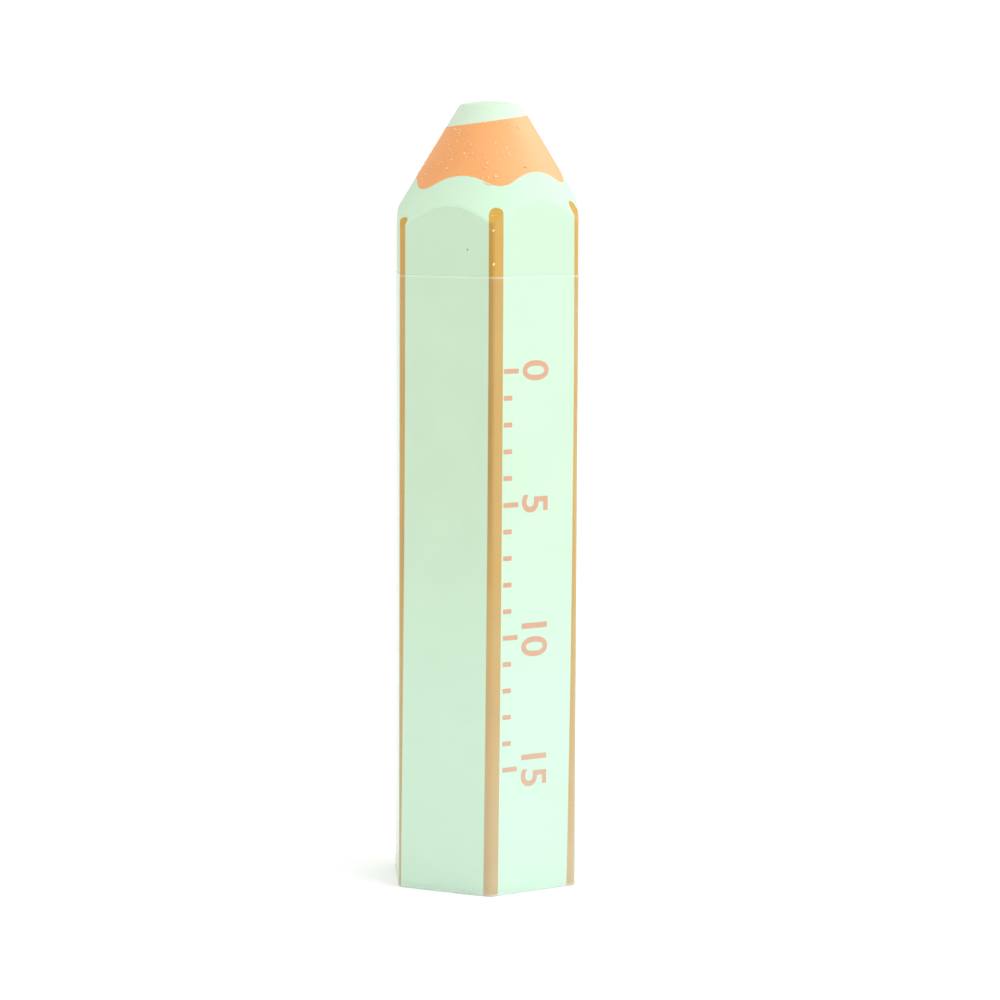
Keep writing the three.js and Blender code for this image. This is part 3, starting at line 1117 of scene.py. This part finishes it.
def salmon_ink():
    material, tree = new_finish("salmon_ink")
    coat = noise(tree, object_place(tree), INK_GRAIN, 3.0)
    share = rescale(tree, coat, *MOST_NOISE, 0, 1)
    surface = {
        "Base Color": mix_colours(tree, share, colour(199, 142, 105), colour(207, 151, 113)),
        "Roughness": rescale(tree, coat, *MOST_NOISE, *INK_GLOSS),
    }
    show(tree, output_of(tree, "ShaderNodeBsdfPrincipled", surface))
    return material


ink_finish = salmon_ink()
print("ink:", ink_finish.name)

# %% [markdown]
# ## Bars of the print
# The print on the right of the two front flats is plain: a row of bars, with a number at every fifth. Each
# bar could be a plane of its own, but a row that repeats suits Geometry Nodes: they set one bar along a line
# and stretch every fifth one. The row is laid out flat, with X across the face and Y along the bar.

# %% Bars of the print
BAR_SPACING = 2.25 * MM
BAR_COUNT = 16
BARS_TO_A_NUMBER = 5
BAR_LENGTH = 0.85 * MM
LONG_BAR = 1.75  # times as long
BAR_WIDTH = 0.4 * MM
BAR_POINTS = 6  # along a bar, so that it can follow the film
INK = 0.006 * MM
BAR_SIZES = {
    "Count": BAR_COUNT, "Spacing": BAR_SPACING, "Length": BAR_LENGTH, "Width": BAR_WIDTH, "Ink": INK,
    "Long": LONG_BAR, "Every": BARS_TO_A_NUMBER,
}


def bar_row():
    kinds = {name: "Int" if isinstance(value, int) else "Float" for name, value in BAR_SIZES.items()}
    tree, given = new_tree("bar_row", {**kinds, "Finish": "Material"})
    offset = combine(tree, Y=calculate(tree, "MULTIPLY", given["Spacing"], -1.0))
    line = output_of(tree, "GeometryNodeMeshLine", {"Count": given["Count"], "Offset": offset})
    size = combine(tree, X=given["Length"], Y=given["Width"], Z=given["Ink"])
    cube = {"Size": size, "Vertices X": BAR_POINTS}
    bar = add_node(tree, "GeometryNodeMeshCube", cube).outputs["Mesh"]
    start = combine(tree, X=calculate(tree, "MULTIPLY", given["Length"], 0.5))
    shifted = output_of(tree, "GeometryNodeTransform", {"Geometry": bar, "Translation": start})
    index = output_of(tree, "GeometryNodeInputIndex")
    left_over = calculate(tree, "MODULO", index, given["Every"])
    longer = calculate(tree, "LESS_THAN", left_over, 0.5)
    extra = calculate(tree, "SUBTRACT", given["Long"], 1.0)
    stretch = calculate(tree, "MULTIPLY_ADD", longer, extra, 1.0)
    scale = combine(tree, X=stretch, Y=1.0, Z=1.0)
    finish_copies(tree, given, {"Points": line, "Instance": shifted, "Scale": scale})
    return tree


bars = add_to_scene("bars", bpy.data.meshes.new("bars"))
run_tree(bars, bar_row(), {**BAR_SIZES, "Finish": ink_finish})
print("bars:", BAR_COUNT, "with", len(bars.data.polygons), "faces")

# %% [markdown]
# ## Numbers and the printed film
# The numbers are text in Blender's own font, made a little bolder and turned into meshes. Then bars and
# numbers become one piece, and each of its points is moved to the film's inside, where such ink is printed so
# that fingers don't rub it off. A Shrinkwrap modifier could do that too, but the film's formula is exact.

# %% Numbers and the printed film
NUMBER_STEP = 5
NUMBER_SIZE = 3.6 * MM
NUMBER_GAP = 0.5 * MM
NUMBER_WEIGHT = 0.014  # how much bolder than the plain font, as a share of its size
PRINT_FACE = round(FRONT + EDGE_TURN / 2)
PRINT_TOP = SLEEVE_TOP - 7.9 * MM
PRINT_INSET = 1.15 * MM  # from the front edge
PRINT_START = PRINT_INSET - SIDE / 2  # from the middle of the face
INK_DEPTH = INK * 0.75  # of the middle of the ink, under the film's inside


def number_mesh(place):
    """A number that reads down the bar, with its top to the right, as a flat mesh."""
    text = bpy.data.curves.new("number", "FONT")
    text.body = str(NUMBER_STEP * place)
    text.size = NUMBER_SIZE
    text.align_x = "CENTER"
    text.extrude = INK / 2
    text.offset = NUMBER_WEIGHT * NUMBER_SIZE
    holder = add_to_scene("number", text)
    mesh = bpy.data.meshes.new_from_object(holder)
    bpy.data.objects.remove(holder)
    mesh.transform(rotation(-90, "Z"))
    start = BAR_LENGTH * LONG_BAR + NUMBER_GAP
    down = BAR_SPACING * BARS_TO_A_NUMBER * place
    mesh.transform(Matrix.Translation((start, -down, 0)))
    return mesh


def lay_on_film(mesh):
    """Moves a flat layout to the film's inside: X across the face, Y up the bar, Z out of the bar."""
    for vertex in mesh.vertices:
        across = PRINT_START + vertex.co.x
        height = PRINT_TOP + vertex.co.y
        out = INSIDE + bow(PRINT_FACE, across, height) - INK_DEPTH + vertex.co.z
        flat = polar(out, PRINT_FACE) + polar(across, PRINT_FACE + 90)
        vertex.co = (flat.x, flat.y, height)


numbers = [number_mesh(place) for place in range(1 + BAR_COUNT // BARS_TO_A_NUMBER)]
printed = add_to_scene("printed_scale", joined("printed_scale", [bars.data, *numbers]))
bpy.data.objects.remove(bars)
lay_on_film(printed.data)
printed.data.materials.append(ink_finish)
print("print:", len(numbers), "numbers,", len(printed.data.polygons), "faces")

# %% [markdown]
# ## Hand over to the frame
# Each piece moves with a body of the imported model: the bar's pieces and crumbs with the bar, and the film and
# its print with the sleeve. A piece that stands for imported nodes hides them.

# %% Hand over to the frame
STRIP_NODES = [name for name in frame["nodes"] if name.startswith("edge_strip_")]
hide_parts("core")
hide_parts("orange_layer")
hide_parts("casing")
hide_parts(*STRIP_NODES)
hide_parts("film_sleeve")
for piece in (*blanks, *crumbs.values()):
    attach(piece, "bar")
for piece in (sleeve, printed):
    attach(piece, "sleeve")
